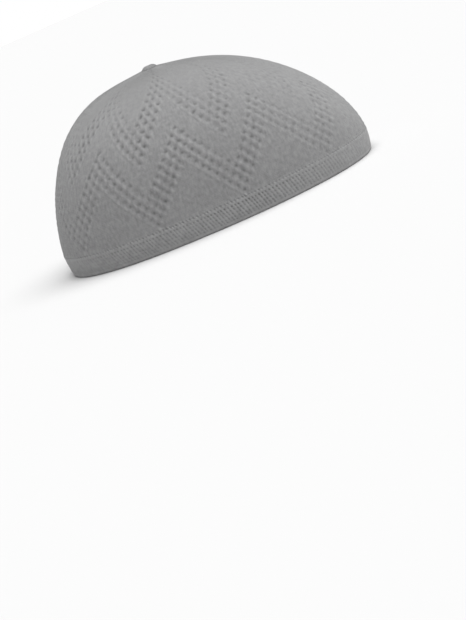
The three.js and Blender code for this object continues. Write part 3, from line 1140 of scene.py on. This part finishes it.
@dataclass
class Crown:
    """The seamless knitted dome, from the hem to the knot.

    Its lower edge, the tail, is thinner and held by the hem. Above it the linking stitches
    run up to the first of the zones, which end at lines along the strokes and near the top.
    """

    form: CapForm
    pattern: EyeletPattern = EyeletPattern()
    ribs: RibPattern = RibPattern()
    wall: float = 1.8
    tail_offset: float = -1.3
    tail_wall: float = 1.0
    tail_start: float = 2.5
    tail_bend: float = 0.4
    tail_step: float = 0.1
    hem_height: float = 13.4
    hem_proud: float = 0.15
    hem_gap: float = 0.3
    shoulder: float = 14.2
    link_top: float = 15.3
    link_rows: int = 8
    link_crowding: float = 1.2
    stroke_floor: float = 15.8
    stroke_sides: tuple[float, float] = (5.85, -1.2)
    top_margin: float = 9.0
    hole: float = 2.7
    hole_rounding: float = 0.25
    pucker_count: int = 22
    pucker_rise: float = 0.18
    pucker_reach: float = 9.0
    pucker_start: tuple[float, float] = (1.5, 5.0)
    wales: int = 540
    link_columns: int = 1500
    inner_columns: int = 180
    zones: tuple[Zone, ...] = (
        Zone(Course.LOWER, 540, 5, 1), Zone(Course.LOWER, 1080, 34, 11), Zone(Course.LOWER, 540, 8, 3),
        Zone(Course.UPPER, 900, 30, 11), Zone(Course.UPPER, 540, 8, 3), Zone(Course.UPPER, 540, 6, 2))
    finish: KnitFinish = KnitFinish("crown knit", (0.300, 0.300, 0.302))

    def _plain_rings(self, skin: Skin, count: int, heights: Iterable[Array | float], offset: float,
                     face: Face) -> None:
        """Adds rings with one offset and no relief.

        Args:
            skin: The skin.
            count: Points of each ring.
            heights: The rings' heights along the cloth.
            offset: Offset outward from the form.
            face: Which face of the knitting shows.
        """
        share = columns(count)
        for height in heights:
            skin.add(self.form.knit_points(share, height, offset), share, height, face=face)

    def _ring(self, skin: Skin, count: int, which: Course, line: Line, face: Face) -> None:
        """Adds one ring of the outside, or of the inside, which shows the backs of the eyelets.

        Args:
            skin: The skin.
            count: Points of the ring.
            which: The nearer zigzag.
            line: The line that the ring follows.
            face: Which face of the knitting shows.
        """
        share = columns(count)
        height = line(share)
        eyelets = self.pattern.at(which, share, height)
        offset, tone = -self.wall, 0.0
        if face is Face.RIGHT:
            column = self.ribs.column_at(share, height, self.form.girth)
            # The tone is the painted light and shade of the ribs and linking stitches.
            link, tone = self.ribs.relief(column, height)
            left = self.form.top_at(share) - height
            pucker = self.pucker_rise * np.exp(-left / self.pucker_reach) * smooth(*self.pucker_start, left)
            proud = self.hem_proud * smooth(self.link_top, self.hem_height, height)
            offset = eyelets.offset + link + proud + pucker * np.cos(self.pucker_count * FULL_TURN * share)
        skin.add(self.form.knit_points(share, height, offset), share, height, tone, eyelets, face)

    def _stroke_line(self, which: Course, down: float) -> Line:
        """The line so many courses down from a stroke's top row, kept clear of the hem."""
        return lambda share: np.maximum(self.pattern.edge(which, share, down), self.stroke_floor)

    def _below_top(self, margin: float) -> Line:
        """The line that lies so far below the top, along the cloth."""
        return lambda share: self.form.top_at(share) - margin

    def _add_zones(self, skin: Skin, face: Face) -> None:
        """Adds the rings of all zones, up the outside or down the inside.

        Args:
            skin: The skin.
            face: Which face of the knitting shows.
        """
        inside = face is Face.REVERSE
        strokes = [self._stroke_line(which, down) for which in Course for down in self.stroke_sides]
        lines = [level(self.shoulder if inside else self.link_top), *strokes,
                 self._below_top(self.top_margin), self._below_top(self.hole)]
        spans = list(zip(self.zones, lines, lines[1:]))
        if inside:
            spans = [(zone, last, first) for zone, first, last in reversed(spans)]
        for zone, first, last in spans:
            count, rows = (self.inner_columns, zone.inner_rows) if inside else (zone.columns, zone.rows)
            for row in range(1, rows + 1):
                self._ring(skin, count, zone.which, between(first, last, row / rows), face)

    def build(self) -> bpy.types.Object:
        """Builds and dresses the crown.

        Returns:
            The crown.
        """
        skin = Skin("knitted_crown", self.wales, cells=0.5 * self.pattern.steps_round())
        hem, half, inner = self.hem_height, 0.5 * self.hem_height, self.inner_columns
        outer_tail, inner_tail = self.tail_offset, self.tail_offset - self.tail_wall
        self._plain_rings(skin, inner, (self.tail_start, half, hem - self.tail_bend), outer_tail, Face.RIGHT)
        self._plain_rings(skin, self.zones[0].columns, (hem,), outer_tail + self.tail_step, Face.RIGHT)
        for part in np.linspace(0.0, 1.0, self.link_rows) ** self.link_crowding:
            line = between(level(hem), level(self.link_top), part)
            self._ring(skin, self.link_columns, Course.LOWER, line, Face.RIGHT)
        self._add_zones(skin, Face.RIGHT)
        edge = self._below_top(self.hole)(columns(inner))
        self._plain_rings(skin, inner, (edge + self.hole_rounding,), -0.5 * self.wall, Face.REVERSE)
        self._plain_rings(skin, inner, (edge,), -self.wall, Face.REVERSE)
        self._add_zones(skin, Face.REVERSE)
        self._plain_rings(skin, inner, (hem + self.hem_gap, half, self.tail_start), inner_tail, Face.REVERSE)
        return settle(skin.build(), "crown", self.finish)


@dataclass
class Hem:
    """The turned double hem: a channel of fine ribs that holds the crown's lower edge.

    A corner of its section is how far it cuts in from the ply's face and from the hem's edge.
    """

    form: CapForm
    ribs: RibPattern = RibPattern()
    height: float = 13.4
    ply: float = 1.15
    proud: float = 0.15
    gap: float = 0.3
    fold: float = 2.2
    tail_wall: float = 1.0
    edge_roll: float = 1.0
    edge_rows: int = 6
    outer_start: float = 1.5
    outer_rows: int = 29
    outer_corner: tuple[float, float] = (0.25, 0.3)
    slot_corner: tuple[float, float] = (0.46, 0.4)
    inner_corner: tuple[float, float] = (0.25, 0.15)
    rim_corners: tuple[tuple[float, float], ...] = ((0.2, 0.35), (0.6, 0.0))
    inner_heights: tuple[float, ...] = (12.6, 11.9, 11.3, 10.6, 9.0, 7.0, 5.0, 3.8, 3.0, 2.2, 1.5, 0.9)
    inner_relief: float = 0.5
    fine: int = 2000
    middle: int = 1000
    coarse: int = 250
    finish: KnitFinish = KnitFinish("hem knit", (0.320, 0.320, 0.322), stitch_depth=0.06,
                                    stitch_painted_shading=0.07, column_streak=0.2)

    def _rings(self, skin: Skin, count: int, offset: float, ribbed: float, *heights: float) -> None:
        """Adds rings of the hem.

        Args:
            skin: The skin.
            count: Points of each ring.
            offset: Offset outward from the form.
            ribbed: How strongly the ribs and their painted light and shade show there, below 0 on the inner
                ply.
            heights: The rings' heights along the cloth.
        """
        column = columns(count)
        for height in heights:
            share = 2 * column - self.ribs.column_at(column, height, self.form.girth)
            # The tone is the painted light and shade of the ribs, as strong as the ribs show on that ply.
            relief, tone = self.ribs.relief(column, np.full(count, height))
            points = self.form.knit_points(share, height, offset + relief * ribbed)
            skin.add(points, column, height, tone * abs(ribbed))

    def build(self) -> bpy.types.Object:
        """Builds and dresses the hem, up the outer ply, round the slot and down the inner ply.

        Returns:
            The hem.
        """
        skin = Skin("ribbed_hem", 2 * self.ribs.ribs)
        top, half, roll = self.height, 0.5 * self.height, self.edge_roll
        outer = self.proud
        slot_outer = outer - self.ply
        slot_inner = slot_outer - 2 * self.gap - self.tail_wall
        inner = slot_inner - self.ply
        for turn in np.radians(np.linspace(-90.0, 0.0, self.edge_rows)):
            round_in = roll * (1 - math.cos(turn))
            self._rings(skin, self.fine, outer - round_in, 1.0, roll * (1 + math.sin(turn)))
        self._rings(skin, self.fine, outer, 1.0, *np.linspace(self.outer_start, top, self.outer_rows))
        cut, down = self.outer_corner
        self._rings(skin, self.coarse, slot_outer + cut, 0.0, top)
        self._rings(skin, self.coarse, slot_outer, 0.0, top - down, half, self.fold)
        cut, down = self.slot_corner
        self._rings(skin, self.coarse, slot_inner, 0.0, self.fold, half, top - down)
        self._rings(skin, self.coarse, slot_inner - cut, 0.0, top)
        cut, down = self.inner_corner
        self._rings(skin, self.middle, inner + cut, 0.0, top - down)
        self._rings(skin, self.middle, inner, -self.inner_relief, *self.inner_heights)
        for cut, height in self.rim_corners:
            self._rings(skin, self.middle, inner + cut, 0.0, height)
        return settle(skin.build(), "band", self.finish)


@dataclass
class Knot:
    """The drawn-up end of the knitting: a low gathered button, its neck and a flange inside.

    Rows are parts of the way from the middle to the button's edge. A pair of numbers gives
    where a change starts and ends in those parts, or the two ends of the flange's edge.
    """

    form: CapForm
    course: float = 0.9
    wall: float = 1.8
    clearance: float = 0.66
    neck: float = 2.1
    neck_top: float = -0.36
    flange: float = 3.3
    flange_flat: float = 2.31
    flange_wall: float = 1.0
    flange_edge: tuple[float, float] = (0.6, 0.4)
    radius: float = 4.9
    rise: float = 1.85
    roundness: float = 3.2
    seat: float = 0.05
    gathers: int = 22
    gather_rise: float = 0.17
    # Painted light on the raised gathers and painted shade in the folds between them.
    gather_painted_shading: float = 0.35
    edge_gather: float = 0.02
    dimple: float = 0.25
    dimple_reach: float = 0.14
    # Painted shade in the dimple at the middle of the button.
    dimple_painted_shade: float = -0.3
    gathered: tuple[float, float] = (0.05, 0.6)
    smooth_edge: tuple[float, float] = (1.12, 0.85)
    sides: int = 176
    seat_rows: tuple[float, ...] = (0.5, 0.95)
    button_rows: tuple[float, ...] = (1.0, 0.97, 0.92, 0.85, 0.76, 0.66, 0.56, 0.46, 0.36, 0.27, 0.19, 0.12,
                                      0.06)
    finish: KnitFinish = KnitFinish("knot knit", (0.295, 0.295, 0.297), stitch_depth=0.12)

    def build(self) -> bpy.types.Object:
        """Builds and dresses the knot, from the middle of the flange to that of the button.

        Returns:
            The knot.
        """
        skin = Skin("gathered_knot", 2 * self.gathers, self.course)
        share = columns(self.sides)
        top = self.form.top_at(share)
        peak = self.form.peak()
        wave = np.cos(self.gathers * FULL_TURN * share)
        foot = self.form.knit_points(share, top - self.radius, self.seat)
        reach = (foot - peak) * np.array([1.0, 1.0, 0.0])
        away = reach / np.linalg.norm(reach, axis=1, keepdims=True)
        under = -self.wall - self.clearance
        skin.add(peak + np.array([[0.0, 0.0, under - self.flange_wall]]) * MM, columns(1), 0.0)
        for radius, height in ((self.flange_flat, under - self.flange_wall),
                               (self.flange, under - self.flange_edge[0]),
                               (self.flange, under - self.flange_edge[1]),
                               (self.neck, under), (self.neck, self.neck_top)):
            points = peak + (away * radius + np.array([0.0, 0.0, height])) * MM
            skin.add(points, share, height, face=Face.REVERSE)
        for part in self.seat_rows:
            skin.add(self.form.knit_points(share, top - part * self.radius, 1.5 * self.seat), share, 0.0)
        edge = foot[:, 2]
        for part in self.button_rows:
            fade = smooth(*self.gathered, part) * smooth(*self.smooth_edge, part)
            height = self.rise * (1 - part**self.roundness) + self.gather_rise * fade * wave
            height = height - self.dimple * math.exp(-((part / self.dimple_reach) ** 2))
            points = peak + reach * (part * (1 + self.edge_gather * wave * part))[:, None]
            points[:, 2] = edge.mean() + (edge - edge.mean()) * part**2 + height * MM
            # The ring's tone is the gathers' painted light and shade.
            skin.add(points, share, self.radius * (1 - part), self.gather_painted_shading * wave * fade)
        middle = np.array([[peak[0], peak[1], edge.mean() + (self.rise - self.dimple) * MM]])
        # The middle's tone is the dimple's painted shade.
        skin.add(middle, columns(1), self.radius, self.dimple_painted_shade)
        return settle(skin.build(), "top_knot", self.finish)


@dataclass(frozen=True)
class PhotoCamera:
    """A camera at the photograph's viewing angle.

    The yaw turns the view from square on to the cap's side, the roll turns the picture, and
    both are in degrees, as is the elevation. The distance to the target is in metres, and
    the target pixel is where the target lies in the picture.
    """

    yaw: float = -10.0
    elevation: float = 6.29
    roll: float = 23.46
    distance: float = 1.6
    target: tuple[float, float, float] = (0.0, 0.0, 0.05)
    target_pixel: tuple[float, float] = (190.96, 135.21)
    focal_pixels: float = 2580.65
    picture: tuple[int, int] = (466, 620)
    sensor: float = 36.0
    clip: tuple[float, float] = (0.05, 20.0)

    def make(self) -> bpy.types.Object:
        """Makes the camera and hands it to the scene.

        The target is off the middle of the picture, so the camera is turned towards the
        middle instead of shifting its lens.

        Returns:
            The camera.
        """
        yaw, lift, roll = (math.radians(value) for value in (self.yaw, self.elevation, self.roll))
        back = Vector((-math.cos(yaw) * math.cos(lift), math.sin(yaw) * math.cos(lift), math.sin(lift)))
        across = Vector((-math.sin(yaw), -math.cos(yaw), 0.0))
        upright = back.cross(across)
        right = across * math.cos(roll) - upright * math.sin(roll)
        up = across * math.sin(roll) + upright * math.cos(roll)
        off_x = self.picture[0] / 2 - self.target_pixel[0]
        off_y = self.picture[1] / 2 - self.target_pixel[1]
        ahead = (-back * self.focal_pixels + right * off_x - up * off_y).normalized()
        side = ahead.cross(up).normalized()
        over = side.cross(ahead)
        off_axis = math.atan(math.hypot(off_x, off_y) / self.focal_pixels)
        data = bpy.data.cameras.new("camera")
        data.sensor_width = self.sensor
        data.lens = self.focal_pixels * math.cos(off_axis) ** 1.5 * self.sensor / max(self.picture)
        data.clip_start, data.clip_end = self.clip
        camera = show("camera", data)
        turn = Matrix((side, over, -ahead)).transposed().to_4x4()
        camera.matrix_world = Matrix.Translation(Vector(self.target) + back * self.distance) @ turn
        bpy.context.scene.camera = camera
        return camera


@dataclass(frozen=True)
class Studio:
    """A plain pale floor and plain soft light from all round and from above.

    The sun is the light from above: its spread is the angle that it fills, and its tilt is
    from above the crown towards the front, both in degrees. The radius is in metres.
    """

    sky: float = 0.27
    backdrop: float = 1.0
    sun: float = 3.5
    sun_spread: float = 68.0
    sun_tilt: float = 13.6
    floor_colour: tuple[float, float, float] = (0.72, 0.72, 0.72)
    floor_roughness: float = 0.9
    floor_radius: float = 3.0
    floor_sides: int = 96

    def _world(self) -> None:
        """Soft light from all round, with a white background for the camera."""
        world = bpy.data.worlds.new("studio")
        bpy.context.scene.world = world
        world.use_nodes = True
        tree = world.node_tree
        lit, seen = tree.nodes["Background"], tree.nodes.new("ShaderNodeBackground")
        white = (1.0, 1.0, 1.0, 1.0)
        fill(lit, {"Color": white, "Strength": self.sky})
        fill(seen, {"Color": white, "Strength": self.backdrop})
        rays = tree.nodes.new("ShaderNodeLightPath")
        mix = tree.nodes.new("ShaderNodeMixShader")
        fill(mix, {0: rays.outputs["Is Camera Ray"], 1: lit.outputs[0], 2: seen.outputs[0]})
        fill(tree.nodes["World Output"], {"Surface": mix.outputs[0]})

    def _light(self) -> None:
        """One broad soft light from above."""
        data = bpy.data.lights.new("overhead", "SUN")
        data.energy = self.sun
        data.angle = math.radians(self.sun_spread)
        tilt = math.radians(self.sun_tilt)
        source = Vector((0.0, -math.sin(tilt), math.cos(tilt)))
        show("overhead", data).rotation_euler = source.to_track_quat("Z", "Y").to_euler()

    def _floor(self) -> None:
        """A plain pale floor under the cap."""
        turn = np.linspace(0.0, FULL_TURN, self.floor_sides, endpoint=False)
        ring = np.stack([np.cos(turn), np.sin(turn), np.zeros_like(turn)], axis=-1) * self.floor_radius
        mesh = bpy.data.meshes.new("floor")
        mesh.from_pydata(ring.tolist(), [], [list(range(self.floor_sides))])
        paint = bpy.data.materials.new("floor paint")
        paint.use_nodes = True
        fill(paint.node_tree.nodes["Principled BSDF"], {
            "Base Color": (*self.floor_colour, 1.0), "Roughness": self.floor_roughness,
            "Specular IOR Level": 0.0})
        mesh.materials.append(paint)
        show("floor", mesh)

    def build(self) -> None:
        """Sets up the floor, the light and the colours of the picture."""
        self._world()
        self._light()
        self._floor()
        bpy.context.scene.view_settings.view_transform = "Standard"


def main() -> None:
    """Builds the cap and its studio, in order, and reports each piece."""
    logging.basicConfig(level=logging.INFO, format="%(name)s: %(message)s")
    PhotoCamera().make()
    Studio().build()
    form = CapForm()
    log.info("girth %.1f mm", form.girth)
    pieces = [Crown(form).build(), Hem(form).build(), Knot(form).build()]
    log.info("%d pieces in all", len(pieces))


if __name__ == "__main__":
    main()
